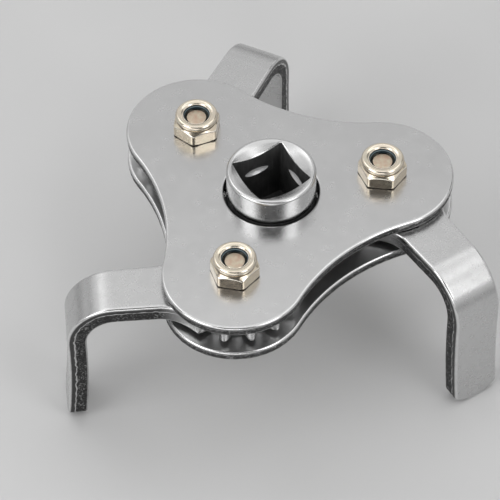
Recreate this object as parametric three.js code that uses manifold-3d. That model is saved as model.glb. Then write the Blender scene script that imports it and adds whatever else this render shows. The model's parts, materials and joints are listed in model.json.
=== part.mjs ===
// Two-way oil filter wrench: a square-drive gear turns three bent jaws that carry teeth on their roots.
// The jaws pivot on bolts between two three-lobed plates and close on the rim of a filter.
//
// Millimetres, +Z up. The drive axis is Z. The origin is the centre of the drive socket's floor.
import * as THREE from "three";
import { mergeVertices } from "three/addons/utils/BufferGeometryUtils.js";
import Module from "manifold-3d";

const wasm = await Module();
wasm.setup();

const degrees = Math.PI / 180;

// ---- Gears: one drive gear in mesh with the toothed root of every jaw ----
const gearModule = 1.75;
const driveTeeth = 15;
const jawTeeth = 14;
const pressureAngle = 20 * degrees;
const driveTipRadius = 14.4;
const jawTipRadius = 14.2;
const rootClearance = 0.35; // between one gear's tips and the other's roots
const toothShift = 0.38; // the jaws' teeth are stouter than standard by this, and the drive's slimmer
const toothThinning = 0.22; // taken off each tooth's thickness, for backlash
const tipRounding = 0.3; // how far below its tip a tooth's flank begins to round over
const tipLand = 0.6; // share of the tip's width that stays at full height
const rootFlare = 0.02; // radians that each tooth widens between its base circle and its root
const boltCircle = (gearModule * (driveTeeth + jawTeeth)) / 2; // radius from the drive axis to a pivot

// Each gear's teeth, tip and root radii, and the thickness of a tooth at the pitch circle.
const standardTooth = (Math.PI * gearModule) / 2 - toothThinning;
const driveGear = {
  teeth: driveTeeth,
  tip: driveTipRadius,
  root: boltCircle - jawTipRadius - rootClearance,
  thickness: standardTooth - toothShift,
};
const jawGear = {
  teeth: jawTeeth,
  tip: jawTipRadius,
  root: boltCircle - driveTipRadius - rootClearance,
  thickness: standardTooth + toothShift,
};

// ---- Plates ----
const lobeAngles = [-90, 30, 150]; // directions of the three pivots from the drive axis
const lobeRadius = 16.1;
const waistRadius = 45; // concave edge between two lobes
const plateThickness = 2.3;
const plateGap = 6.0;
const plateEdge = 0.5; // chamfer that stands for the rounded edge
const topPlateTop = 9.3;
const topPlateBottom = topPlateTop - plateThickness;
const bottomPlateTop = topPlateBottom - plateGap;
const bottomPlateBottom = bottomPlateTop - plateThickness;
const topHoleRadius = 10.7;
const bottomHoleRadius = 10.1;
const boltHoleRadius = 3.2;

// ---- Drive gear with its hub and square socket ----
const hubRadius = 10.0;
const hubTop = 16.0;
const journalRadius = 9.6; // lower end, in the bottom plate
const journalBottom = -2.0;
const gearClearance = 0.3; // between the gear's faces and the plates
const rimInnerRadius = 9.3; // the dished mouth starts here
const rimChamfer = 0.5; // height of the chamfer round the hub's rim
const rimChamferWidth = 0.4;
const journalChamfer = 0.5;
const dishSlope = 0.53; // fall of the dish per millimetre towards the axis
const socketSide = 12.7; // half-inch square
const socketTurn = 49; // degrees, of the square's side about the axis
const detentRadius = 7.0; // turned groove that catches the ball of the driving square
const detentHeight = 9.9;
const detentWidth = 2.2;

// ---- Jaws ----
const jawThickness = 4.3;
const jawTop = 6.65;
const jawSwing = 67.1; // degrees clockwise of the radial direction, seen from above
const jawPlay = [-0.9, 0.9, 0]; // degrees, where each jaw rests within the backlash
const toothClocking = -2.5; // degrees from the bar's centre line to the nearest tooth
const jawReach = 37.6; // pivot axis to the outer face of the bend
const bendRadius = 11; // outer
const bendAngle = 91.3;
const legCurve = 180; // radius of the slow outward curve below the bend
const tipLevel = -30.3;
const tipRise = 1.9; // from the tip's middle up to its two corners
const tipFlat = 3.0;
const barWidth = 12.2; // at the neck
const bendWidth = 11.6;
const tipWidth = 11.3;
const neckStart = 17.0; // from the pivot, where the bar begins to widen into the toothed root
const neckCurve = 4.0; // length over which the neck's edge swings outwards
const neckFlare = 0.3; // how far it has swung out by then
const leanAllowance = 10; // how far the leg may lean out past the bend

// ---- Fasteners: M6 bolts with self-locking nuts ----
const boltRadius = 3.0;
const boltEnd = 13.25;
const boltEndRadius = 2.35;
const headHeight = 4.0;
const hexAcrossFlats = 9.8;
const nutTurns = [-23, -18, 10]; // degrees, how each nut happened to stop
const nutHeight = 5.2;
const nutHexHeight = 3.5;
const collarRadius = 4.8;
const collarChamfer = 0.6;
const nutBore = 3.12;
const insertRadius = 4.0;
const insertBottom = topPlateTop + 3.4;
const insertHeight = 1.2;
const insertGap = 0.05; // between the nylon ring and the nut's pocket
const collarMouth = 3.15; // opening left by the rolled rim

// ---- Washers ----
const shimRadius = 7.5;
const washerRadius = 6.5;
const washerGap = 0.04; // running clearance on each face
const washerBore = 3.2;

// ---- Solids that cut or join others run past them by these lengths ----
const past = 1;
const blankHalfWidth = 20; // wider than any jaw root

// A closed geometry as a solid that can be joined and cut.
function solidOf(geometry) {
  const bare = geometry.clone();
  bare.deleteAttribute("normal");
  bare.deleteAttribute("uv");
  const merged = mergeVertices(bare);
  return new wasm.Manifold(
    new wasm.Mesh({
      numProp: 3,
      vertProperties: merged.attributes.position.array,
      triVerts: new Uint32Array(merged.index.array),
    }),
  );
}

// The geometry of a finished solid.
function geometryOf(solid) {
  const mesh = solid.getMesh();
  const geometry = new THREE.BufferGeometry();
  geometry.setAttribute("position", new THREE.BufferAttribute(mesh.vertProperties, 3));
  geometry.setIndex(new THREE.BufferAttribute(mesh.triVerts, 1));
  geometry.computeVertexNormals();
  return geometry;
}

function metal(color, roughness) {
  return new THREE.MeshStandardMaterial({ color, roughness, metalness: 1 });
}

function pieceOf(name, geometry, material) {
  const mesh = new THREE.Mesh(geometry, material);
  mesh.name = name;
  return mesh;
}

function polar(radius, angle) {
  return new THREE.Vector2(radius * Math.cos(angle), radius * Math.sin(angle));
}

// A flat outline raised into a slab between two levels.
function slab(shape, bottom, top, curveSegments = 12) {
  const geometry = new THREE.ExtrudeGeometry(shape, {
    depth: top - bottom,
    bevelEnabled: false,
    curveSegments,
  });
  return geometry.translate(0, 0, bottom);
}

// A solid of revolution from [radius, level] pairs, turned about the Z axis.
function turned(profile, segments = 40) {
  const points = profile.map(([radius, level]) => new THREE.Vector2(radius, level));
  return new THREE.LatheGeometry(points, segments).rotateX(Math.PI / 2);
}

// A flat ring of rectangular section.
function ring(innerRadius, outerRadius, bottom, top, segments = 24) {
  const section = [
    [innerRadius, bottom],
    [outerRadius, bottom],
    [outerRadius, top],
    [innerRadius, top],
    [innerRadius, bottom],
  ];
  return turned(section, segments);
}

function hexagon(acrossFlats) {
  const cornerRadius = acrossFlats / Math.sqrt(3);
  const corners = [...Array(6)].map((_, i) => polar(cornerRadius, i * 60 * degrees));
  return new THREE.Shape(corners);
}

// The three-lobed outline: an arc round each pivot, joined by concave arcs tangent to both neighbours.
function plateShape(centreHoleRadius) {
  const reach = lobeRadius + waistRadius;
  const waistDistance =
    (boltCircle + Math.sqrt(boltCircle ** 2 - 4 * (boltCircle ** 2 - reach ** 2))) / 2;
  const toWaist = polar(waistDistance, 60 * degrees).sub(polar(boltCircle, 0));
  const halfSweep = toWaist.angle();
  const shape = new THREE.Shape();
  for (const lobeAngle of lobeAngles) {
    const turn = lobeAngle * degrees;
    const lobe = polar(boltCircle, turn);
    const waist = polar(waistDistance, turn + 60 * degrees);
    const entry = turn + halfSweep + Math.PI;
    const exit = turn + 120 * degrees - halfSweep - Math.PI;
    shape.absarc(lobe.x, lobe.y, lobeRadius, turn - halfSweep, turn + halfSweep, false);
    shape.absarc(waist.x, waist.y, waistRadius, entry, exit, true);
    shape.holes.push(new THREE.Path().absarc(lobe.x, lobe.y, boltHoleRadius, 0, 2 * Math.PI));
  }
  shape.holes.push(new THREE.Path().absarc(0, 0, centreHoleRadius, 0, 2 * Math.PI));
  return shape;
}

function plateGeometry(centreHoleRadius, bottom) {
  const geometry = new THREE.ExtrudeGeometry(plateShape(centreHoleRadius), {
    depth: plateThickness - 2 * plateEdge,
    bevelThickness: plateEdge,
    bevelSize: plateEdge,
    bevelOffset: -plateEdge,
    bevelSegments: 1,
    curveSegments: 9,
  });
  return geometry.translate(0, 0, bottom + plateEdge);
}

function involute(angle) {
  return Math.tan(angle) - angle;
}

// One tooth centred on a direction, from the gap before it to the gap after it.
function toothPoints(gear, centre) {
  const pitchRadius = (gearModule * gear.teeth) / 2;
  const baseRadius = pitchRadius * Math.cos(pressureAngle);
  const pitchHalf = gear.thickness / (2 * pitchRadius);
  const halfAngleAt = (radius) => {
    const flank = Math.acos(Math.min(1, baseRadius / radius));
    return pitchHalf + involute(pressureAngle) - involute(flank);
  };
  const flankHeight = gear.tip - tipRounding - baseRadius;
  const flankRadii = [0, 1 / 3, 2 / 3, 1].map((share) => baseRadius + share * flankHeight);
  const rising = [[gear.root, halfAngleAt(baseRadius) + rootFlare]];
  flankRadii.forEach((radius) => rising.push([radius, halfAngleAt(radius)]));
  rising.push([gear.tip, tipLand * halfAngleAt(gear.tip)]);
  const before = rising.map(([radius, half]) => polar(radius, centre - half));
  const after = rising.map(([radius, half]) => polar(radius, centre + half)).reverse();
  return [...before, ...after];
}

// The direction of one drive gear tooth that fits the gap of the jaw on the given lobe.
function driveToothDirection(lobeAngle) {
  const jawGap = toothClocking + 180 / jawTeeth;
  const fromSunwards = jawGap - (180 + jawSwing);
  return lobeAngle - (fromSunwards * jawTeeth) / driveTeeth;
}

function driveGearShape() {
  const start = driveToothDirection(lobeAngles[0]) * degrees;
  const pitch = (2 * Math.PI) / driveTeeth;
  const points = [...Array(driveTeeth)].flatMap((_, i) => toothPoints(driveGear, start + i * pitch));
  return new THREE.Shape(points);
}

// The hub as turned, with a chamfered rim, a dished mouth and a closed lower end.
function hubBlank() {
  const dishDepth = dishSlope * rimInnerRadius;
  return turned([
    [0, journalBottom],
    [journalRadius - journalChamfer, journalBottom],
    [journalRadius, journalBottom + journalChamfer],
    [journalRadius, bottomPlateTop + gearClearance],
    [hubRadius, bottomPlateTop + gearClearance],
    [hubRadius, hubTop - rimChamfer],
    [hubRadius - rimChamferWidth, hubTop],
    [rimInnerRadius, hubTop],
    [0, hubTop - dishDepth],
  ]);
}

function driveGearGeometry() {
  const gear = slab(driveGearShape(), bottomPlateTop + gearClearance, topPlateBottom - gearClearance);
  const depth = hubTop + past;
  const socket = new THREE.BoxGeometry(socketSide, socketSide, depth)
    .translate(0, 0, depth / 2)
    .rotateZ(socketTurn * degrees);
  const detent = turned([
    [0, detentHeight - detentWidth / 2],
    [detentRadius, detentHeight - detentWidth / 2],
    [detentRadius, detentHeight + detentWidth / 2],
    [0, detentHeight + detentWidth / 2],
  ]);
  const solid = solidOf(hubBlank())
    .add(solidOf(gear))
    .subtract(solidOf(socket))
    .subtract(solidOf(detent));
  return geometryOf(solid);
}

// The jaw's blank seen from above, pivot at the origin and bar along +X: toothed root, neck and bar.
function jawBlankShape() {
  const pitch = 360 / jawTeeth;
  const firstTooth = 2;
  const lastTooth = jawTeeth - 2;
  const shape = new THREE.Shape();
  const firstTip = polar(jawTipRadius, (toothClocking + firstTooth * pitch) * degrees);
  shape.moveTo(firstTip.x, firstTip.y);
  for (let i = firstTooth; i <= lastTooth; i += 1) {
    const points = toothPoints(jawGear, (toothClocking + i * pitch) * degrees);
    const half = points.length / 2;
    const from = i === firstTooth ? half : 0;
    const to = i === lastTooth ? half : points.length;
    points.slice(from, to).forEach((p) => shape.lineTo(p.x, p.y));
  }
  const neck = barWidth / 2;
  const end = jawReach + leanAllowance;
  const rootEnd = neckStart - neckCurve;
  const flare = neck + neckFlare;
  shape.quadraticCurveTo(rootEnd, -flare, neckStart, -neck);
  shape.lineTo(jawReach, -bendWidth / 2);
  shape.lineTo(end, -bendWidth / 2);
  shape.lineTo(end, bendWidth / 2);
  shape.lineTo(jawReach, bendWidth / 2);
  shape.lineTo(neckStart, neck);
  shape.quadraticCurveTo(rootEnd, flare, firstTip.x, firstTip.y);
  return shape;
}

// The bent bar seen from the side: X along the bar, Y up.
function jawSideShape() {
  const bendCentre = new THREE.Vector2(jawReach - bendRadius, jawTop - bendRadius);
  const bendEnd = (90 - bendAngle) * degrees;
  const legCentre = polar(bendRadius + legCurve, bendEnd).add(bendCentre);
  const tipDrop = legCentre.y - tipLevel;
  const innerCurve = legCurve + jawThickness;
  const innerBend = bendRadius - jawThickness;
  const legStart = Math.PI + bendEnd;
  const outerTip = Math.PI + Math.asin(tipDrop / legCurve);
  const innerTip = Math.PI + Math.asin(tipDrop / innerCurve);
  const shape = new THREE.Shape();
  shape.moveTo(-blankHalfWidth, jawTop);
  shape.absarc(bendCentre.x, bendCentre.y, bendRadius, Math.PI / 2, bendEnd, true);
  shape.absarc(legCentre.x, legCentre.y, legCurve, legStart, outerTip, false);
  shape.absarc(legCentre.x, legCentre.y, innerCurve, innerTip, legStart, true);
  shape.absarc(bendCentre.x, bendCentre.y, innerBend, bendEnd, Math.PI / 2, false);
  shape.lineTo(-blankHalfWidth, jawTop - jawThickness);
  return shape;
}

// The jaw seen along its bar: full width above the bend, then a leg with a gently rounded tip.
function jawFrontShape() {
  const shoulder = jawTop - bendRadius;
  const rootBottom = jawTop - jawThickness - past / 2;
  const shape = new THREE.Shape();
  shape.moveTo(-blankHalfWidth, jawTop + past);
  shape.lineTo(-blankHalfWidth, rootBottom);
  shape.lineTo(-bendWidth / 2, shoulder);
  const corner = tipWidth / 2;
  const flat = tipFlat / 2;
  const between = (corner + flat) / 2;
  shape.lineTo(-corner, tipLevel + tipRise);
  shape.quadraticCurveTo(-between, tipLevel, -flat, tipLevel);
  shape.lineTo(flat, tipLevel);
  shape.quadraticCurveTo(between, tipLevel, corner, tipLevel + tipRise);
  shape.lineTo(bendWidth / 2, shoulder);
  shape.lineTo(blankHalfWidth, rootBottom);
  shape.lineTo(blankHalfWidth, jawTop + past);
  return shape;
}

function jawGeometry() {
  const fromAbove = slab(jawBlankShape(), tipLevel - past, jawTop + past, 6);
  const fromSide = slab(jawSideShape(), -blankHalfWidth, blankHalfWidth, 8).rotateX(Math.PI / 2);
  const fromFront = slab(jawFrontShape(), -blankHalfWidth, jawReach + leanAllowance, 4)
    .rotateX(Math.PI / 2)
    .rotateZ(Math.PI / 2);
  const hole = turned(
    [
      [0, 0],
      [boltHoleRadius, 0],
      [boltHoleRadius, jawTop + past],
      [0, jawTop + past],
    ],
    32,
  );
  const solid = solidOf(fromAbove)
    .intersect(solidOf(fromSide))
    .intersect(solidOf(fromFront))
    .subtract(solidOf(hole));
  return geometryOf(solid);
}

function boltGeometry() {
  const headTop = bottomPlateBottom;
  const head = slab(hexagon(hexAcrossFlats), headTop - headHeight, headTop);
  const shank = turned(
    [
      [0, headTop - past],
      [boltRadius, headTop - past],
      [boltRadius, boltEnd - (boltRadius - boltEndRadius)],
      [boltEndRadius, boltEnd],
      [0, boltEnd],
    ],
    32,
  );
  return geometryOf(solidOf(head).add(solidOf(shank)));
}

// Hexagon body, round collar above it, threaded bore, and the pocket that holds the nylon ring.
function nutGeometry() {
  const top = topPlateTop + nutHeight;
  const hex = slab(hexagon(hexAcrossFlats), topPlateTop, topPlateTop + nutHexHeight);
  const collar = turned(
    [
      [0, topPlateTop + past],
      [collarRadius, topPlateTop + past],
      [collarRadius, top - collarChamfer],
      [collarRadius - collarChamfer, top],
      [0, top],
    ],
    32,
  );
  const pocketRadius = insertRadius + insertGap;
  const pocketBottom = insertBottom - insertGap;
  const pocketTop = insertBottom + insertHeight + insertGap;
  const bore = turned(
    [
      [0, topPlateTop - past],
      [nutBore, topPlateTop - past],
      [nutBore, pocketBottom],
      [pocketRadius, pocketBottom],
      [pocketRadius, pocketTop],
      [collarMouth, pocketTop],
      [collarMouth, top + past],
      [0, top + past],
    ],
    32,
  );
  return geometryOf(solidOf(hex).add(solidOf(collar)).subtract(solidOf(bore)));
}

const nickel = metal(0xb9babc, 0.42);
const steel = metal(0x9d9fa2, 0.5);
const yellowZinc = metal(0xc9b184, 0.3);
const plainSteel = metal(0x8d8e90, 0.45);
const nylon = new THREE.MeshStandardMaterial({ color: 0x1d3140, roughness: 0.5, metalness: 0 });

// The jaw, its pivot bolt and what is threaded on the bolt, all about one pivot axis.
function pivotGroup(number, lobeAngle) {
  const group = new THREE.Group();
  const pivot = polar(boltCircle, lobeAngle * degrees);
  group.position.set(pivot.x, pivot.y, 0);
  group.rotation.z = lobeAngle * degrees;

  const jaw = pieceOf(`jaw_${number}`, jawGeometry(), nickel.clone());
  jaw.rotation.z = -(jawSwing + jawPlay[number - 1]) * degrees;
  const nut = pieceOf(`lock_nut_${number}`, nutGeometry(), yellowZinc.clone());
  nut.rotation.z = nutTurns[number - 1] * degrees;
  const insert = ring(nutBore, insertRadius, insertBottom, insertBottom + insertHeight);
  const shim = ring(washerBore, shimRadius, jawTop + washerGap, topPlateBottom - washerGap);
  const jawBottom = jawTop - jawThickness;
  const washer = ring(washerBore, washerRadius, bottomPlateTop + washerGap, jawBottom - washerGap);
  group.add(
    jaw,
    nut,
    pieceOf(`pivot_bolt_${number}`, boltGeometry(), yellowZinc.clone()),
    pieceOf(`nylon_insert_${number}`, insert, nylon.clone()),
    pieceOf(`upper_shim_${number}`, shim, plainSteel.clone()),
    pieceOf(`lower_washer_${number}`, washer, plainSteel.clone()),
  );
  return group;
}

const wrench = new THREE.Group();
wrench.name = "oil_filter_wrench";
wrench.add(
  pieceOf("top_plate", plateGeometry(topHoleRadius, topPlateBottom), nickel.clone()),
  pieceOf("bottom_plate", plateGeometry(bottomHoleRadius, bottomPlateBottom), nickel.clone()),
  pieceOf("drive_gear", driveGearGeometry(), steel),
);
lobeAngles.forEach((angle, i) => wrench.add(pivotGroup(i + 1, angle)));

export default wrench;
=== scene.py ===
import json
import math
from collections import namedtuple

import bmesh
import bpy
from mathutils import Matrix, Vector, noise


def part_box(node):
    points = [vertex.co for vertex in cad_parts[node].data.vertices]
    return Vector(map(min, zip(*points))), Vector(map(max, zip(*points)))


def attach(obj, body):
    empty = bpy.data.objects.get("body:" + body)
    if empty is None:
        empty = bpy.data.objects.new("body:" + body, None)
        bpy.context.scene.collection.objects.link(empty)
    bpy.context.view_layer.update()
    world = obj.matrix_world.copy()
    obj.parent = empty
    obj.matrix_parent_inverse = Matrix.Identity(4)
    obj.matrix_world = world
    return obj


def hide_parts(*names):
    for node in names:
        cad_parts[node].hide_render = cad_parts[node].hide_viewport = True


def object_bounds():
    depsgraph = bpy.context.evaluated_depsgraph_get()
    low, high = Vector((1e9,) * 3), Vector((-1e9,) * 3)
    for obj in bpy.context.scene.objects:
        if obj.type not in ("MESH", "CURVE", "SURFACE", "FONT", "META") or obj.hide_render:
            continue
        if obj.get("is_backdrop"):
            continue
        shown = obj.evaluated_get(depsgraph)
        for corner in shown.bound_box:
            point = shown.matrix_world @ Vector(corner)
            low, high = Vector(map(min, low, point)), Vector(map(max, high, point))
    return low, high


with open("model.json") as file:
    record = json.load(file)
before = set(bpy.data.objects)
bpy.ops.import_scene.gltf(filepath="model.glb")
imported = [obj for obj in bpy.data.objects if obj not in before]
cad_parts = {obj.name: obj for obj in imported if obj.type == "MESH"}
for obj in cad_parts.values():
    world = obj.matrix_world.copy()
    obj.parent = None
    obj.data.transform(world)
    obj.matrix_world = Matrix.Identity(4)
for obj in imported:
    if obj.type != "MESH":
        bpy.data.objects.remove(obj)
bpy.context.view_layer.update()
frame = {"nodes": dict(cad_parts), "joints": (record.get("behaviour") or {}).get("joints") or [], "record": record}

# Two-way oil filter wrench: a square-drive gear turns three bent jaws between two lobed plates.
# Lengths are millimetres and levels are heights in the frame.
MM = 0.001

# ---- Gears ----
GEAR_MODULE = 1.75
DRIVE_TEETH = 15
JAW_TEETH = 14
PRESSURE_ANGLE = math.radians(20)
DRIVE_TIP_RADIUS = 14.4
JAW_TIP_RADIUS = 14.2
ROOT_CLEARANCE = 0.35
TOOTH_SHIFT = 0.38  # the jaws' teeth are stouter than standard by this, and the drive's slimmer
TOOTH_THINNING = 0.25
TIP_WEAR = 0.03  # keeps the tips inside the CAD's
TIP_MATCH = 0.01  # how near the gear's own circle a CAD corner is if it is on a tip
TIP_ROUND = 0.9
TIP_FLAT = 0.35  # share of a tip's width that stays round the gear's own circle
FILLET = 0.35
FLANK_STEPS = 4
TOOTH_EDGE = 0.45  # edge rounding of a tooth, as a share of a bar's
GEAR_EDGE = 0.3

# ---- Edges of the pressed parts ----
EDGE_STEPS = 6
SUPPORT = 0.3  # flat margin beside a rounded edge, which keeps the flat face's shading flat
PLATE_ROUNDS = (0.55, 0.3)  # of the top edge and the bottom edge
JAW_ROUNDS = (0.6, 0.4)
BURNISH = 0.36  # share of the thickness that the punch left smooth
LIP = 0.05  # share of the thickness that the change to torn metal takes up, above and below its line
TEAR_DEPTH = 0.1
TEAR_ROWS = 5
TEAR_WANDER = 0.3  # how far the torn line strays up and down
WANDER_WAVES = ((0.9, 1.0), (2.7, 0.6))  # waves of the torn line per millimetre, and their share
TEAR_GRAIN = 0.12  # how far the torn metal's surface goes in and out
GRAIN_WAVES = 2.3
GRAIN_BIAS = 0.4
BURR_WEAR = 0.5
TORN_LIP = (  # shares of the tear's depth and of the lip's height, worn, torn, ragged
    (0.0, 1.0, 0.0, 0.0, 0.9), (0.0, 0.4, 0.9, 0.0, 1.0),
    (0.3, -0.2, 0.9, 0.3, 1.0), (1.0, -1.0, 0.0, 1.0, 1.0),
)
HOLE_EDGE = 0.15
HOLE_CORNER = 0.3  # where a hole's rounded edge turns, as a share of its rounding
HOLE_WEAR = 0.3

# ---- Plates ----
WAIST_RADIUS = 45
OUTLINE_STEP = 0.55
OUTLINE_MARGIN = 0.04  # keeps the true arcs inside the CAD's faceted ones
CENTRE_HOLE_EDGE = 0.3
CENTRE_HOLE_POINTS = 120
BOLT_HOLE_POINTS = 48
BOLT_HOLE_RADIUS = 3.15
TOP_HOLE_RADIUS = 10.7
BOTTOM_HOLE_RADIUS = 10.1

# ---- Hub ----
HUB_RADIUS = 10.0
HUB_EDGE = 0.75
RIM_RADIUS = 9.1
RIM_WEAR = 0.1
DISH_SLOPE = 0.53
DISH_MARGIN = 0.15  # the dish's last ring stays this far inside the rim
DISH_LEAST = 0.3  # width of the dish at the socket's corners, at least
SOCKET_HALF = 6.35
SOCKET_CORNER = 0.5
SOCKET_EDGE = 0.22
SOCKET_LIP = ((0.06, 0.1018, 1.0), (0.154, 0.015, 1.0), (SOCKET_EDGE, 0.0, 0.4))  # outward, down, worn
FLOOR_FILLET = 0.1
FLOOR_RINGS = (1.0, 3.5)
WALL_ROWS = (0.4, 2.4, 4.4, 6.4, 8.0)  # heights of the rows of faces below the detent groove
UPPER_WALL_ROWS = (0.3, 0.65, 1.0)  # shares of the way from the groove to the lip
DISH_ROWS = (0.12, 0.35, 0.65, 1.0)  # shares of the way from the lip to the rim
RIM_CORNER = ((0.02, -0.04), (0.12, 0.0))  # outward from the dish's edge, up
RIM_STEPS = 8
BARREL_ROW = 12.0
GAP_START = 0.1  # how far into the plate's hole the barrel stays bright, and where it is dark with painted shade
GAP_DARK = 0.3
HUB_FOOT = (0.5, 0.1)  # heights above the gear of the last two rows on the barrel
HUB_FILLET = 0.1
FLUSH = 0.02
DETENT_LEVEL = 9.9
DETENT_HALF = 1.15
DETENT_DEPTH = 0.7
DETENT_STEPS = 12
JOURNAL_RADIUS = 9.6
JOURNAL_EDGE = 0.45
JOURNAL_FILLET = 0.1
JOURNAL_STEPS = 5
JOURNAL_WEAR = 0.8
JOURNAL_RINGS = (4.0, 1.0)
GEAR_BOTTOM = 1.3
GEAR_TOP = 6.7

# ---- Jaws ----
JAW_THICKNESS = 4.3
JAW_HOLE_EDGE = 0.25
NECK_START = 17.0
NECK_CURVE = 4.0
NECK_FLARE = 0.3
NECK_STEPS = 12
FIRST_TOOTH = 2  # the neck stands where the teeth before this one and after its mirror would be
BEND_START = 26.6
BEND_RADIUS = 11.0
BEND_ANGLE = math.radians(91.3)
LEG_RADIUS = 180.0
BAR_HALF = 6.1
BEND_HALF = 5.8
TIP_HALF = 5.65
TIP_RISE = 1.9
TIP_BOW = 2.2  # power of the tip's curve
TIP_CORNER = 0.7
TIP_STEPS = 24
CORNER_STEPS = 5
TIP_LEAD = 0.8  # from the last row of faces across the bar to where its tip's corners begin
TIP_LEVELLING = 8.0  # length of leg over which the end face comes level
STATION = 0.55  # length of bar between two rows of faces
ROW = 8  # faces across the bar

# ---- Fasteners ----
ACROSS_FLATS = 9.8
CORNER_RADIUS = 5.5
NUT_SIDES = 144
RING_SIDES = 96
BOLT_RADIUS = 3.0
THREAD_RADIUS = 2.97
THREAD_DEPTH = 0.55
THREAD_PITCH = 1.0
THREAD_RINGS = 8  # per turn
THREAD_FADE = 0.6  # turns
THREAD_SLANT = 1.25
THREAD_WEAR = 0.2
THREAD_START = 0.7  # depth below the bolt's end
THREAD_STOP = 3.2  # depths below the plate's top
SHANK_START = 3.6
NUT_THREAD = (3.3, 0.35)
NUT_SLACK = 0.08
FOOT_RISE = 0.1
FOOT_SLOPE = 0.3
CONE_TOP = 3.45
CONE_RADIUS = 4.66
CONE_SLOPE = 0.62
CONE_WEAR = 0.1
CONE_ROWS = (0.7, 0.4, 0.12)  # shares of the way from the collar to the flats
PLATED, CUT = 0, 1  # material slots of a bolt
HEAD_CHAMFER = 4.7
HEAD_SLOPE = math.tan(math.radians(30))
WASHER_CLEARANCE = 0.05
WASHER_STEPS = 3
SHARP_ANGLE = math.radians(36)


# ======== The frame's places ========

def mm(point):
    return Vector(point) / MM


def lowest(node):
    return mm(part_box(node)[0])


def highest(node):
    return mm(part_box(node)[1])


def node_points(node):
    return [vertex.co / MM for vertex in frame["nodes"][node].data.vertices]


def corner_angle(node, axis):
    """Direction from an axis to the farthest corner of a CAD node, which tells how a hexagon is turned."""
    arms = [(point - axis).to_2d() for point in node_points(node)]
    farthest = max(arms, key=lambda arm: arm.length)
    return math.atan2(farthest.y, farthest.x)


def tooth_angle(node, axis, gear):
    """Direction from an axis to a tooth of a CAD node: the mean of its tips, modulo the pitch."""
    total = Vector((0.0, 0.0))
    for point in node_points(node):
        arm = (point - axis).to_2d()
        if abs(arm.length - gear.tip) < TIP_MATCH:
            angle = math.atan2(arm.y, arm.x) * gear.teeth
            total += Vector((math.cos(angle), math.sin(angle)))
    return math.atan2(total.y, total.x) / gear.teeth


mounts = {mount["name"]: mount for mount in frame["record"]["mounts"]}
joints = {joint["name"]: joint for joint in frame["joints"]}
pivots = [mm(joints[f"jaw_{number}_swing"]["pos_m"]) for number in (1, 2, 3)]
bolt_circle = pivots[0].length
lobe_radius = -lowest("top_plate").y - bolt_circle - OUTLINE_MARGIN
plate_top = highest("top_plate").z
jaw_top = highest("jaw_1").z
tip_level = lowest("jaw_1").z


# ======== Mesh building ========

Level = namedtuple("Level", "inset height worn torn ragged dark", defaults=(0.0, 0.0, 0.0, 0.0))


class Body:
    """A closed mesh under construction. Vertex marks steer its material: wear (a painted highlight on the nylon),
    torn metal, and dark, a painted shade.
    """

    def __init__(self):
        self.bm = bmesh.new()
        layers = self.bm.verts.layers.float
        self.worn, self.torn, self.dark = [layers.new(name) for name in ("worn", "torn", "dark")]

    def ring(self, points, worn=0.0, torn=0.0, dark=0.0):
        made = [self.bm.verts.new(point) for point in points]
        for vertex in made:
            vertex[self.worn] = worn
            vertex[self.torn] = torn
            vertex[self.dark] = dark
        return made

    def bridge(self, first, second, slot=0):
        for i in range(len(first)):
            corners = (first[i - 1], first[i], second[i], second[i - 1])
            self.bm.faces.new(corners).material_index = slot

    def close(self, ring, height, slot=0):
        """A fan of triangles from a ring to a point on the axis."""
        centre = self.ring([(0, 0, height)])[0]
        for i in range(len(ring)):
            self.bm.faces.new((ring[i - 1], ring[i], centre)).material_index = slot

    def fill(self, *loops):
        """The flat face between closed loops of vertices, the first round the others."""
        edges = []
        for loop in loops:
            for i in range(len(loop)):
                pair = (loop[i - 1], loop[i])
                edges.append(self.bm.edges.get(pair) or self.bm.edges.new(pair))
        bmesh.ops.triangle_fill(self.bm, use_beauty=True, edges=edges)

    def skin(self, rings, slot=0):
        for first, second in zip(rings, rings[1:]):
            self.bridge(first, second, slot)

    def finish(self, name, materials, centre=(0, 0, 0), turn=0.0):
        place = Matrix.Scale(MM, 4) @ Matrix.Translation(centre) @ Matrix.Rotation(turn, 4, "Z")
        bmesh.ops.recalc_face_normals(self.bm, faces=self.bm.faces)
        self.bm.transform(place)
        for face in self.bm.faces:
            face.smooth = True
        mesh = bpy.data.meshes.new(name)
        self.bm.to_mesh(mesh)
        self.bm.free()
        mesh.set_sharp_from_angle(angle=SHARP_ANGLE)
        for material in materials:
            mesh.materials.append(material)
        piece = bpy.data.objects.new(name, mesh)
        bpy.context.scene.collection.objects.link(piece)
        return piece

    def stand_in(self, node, kind, materials, slot_name, rides="frame", **place):
        """Finishes a piece in a CAD node's place and lets it move with a body."""
        piece = self.finish(f"{node}_{kind}", materials, **place)
        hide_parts(node)
        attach(piece, rides)


def polar(radius, angle):
    return Vector((radius * math.cos(angle), radius * math.sin(angle)))


def bezier(start, control, stop, steps):
    """Points of a quadratic curve, without its two ends."""
    shares = [k / steps for k in range(1, steps)]
    return [start * (1 - t) ** 2 + control * 2 * t * (1 - t) + stop * t**2 for t in shares]


def outward_normals(points):
    """Unit normals to the right of a closed run of points, which is out of a counterclockwise outline."""
    normals = []
    for i, point in enumerate(points):
        along = points[(i + 1) % len(points)] - points[i - 1]
        normals.append(Vector((along.y, -along.x)).normalized())
    return normals


def quarter_turn(steps):
    """Angles from 0 to 90 degrees in even steps, with both ends."""
    return [math.pi / 2 * k / steps for k in range(steps + 1)]


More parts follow.
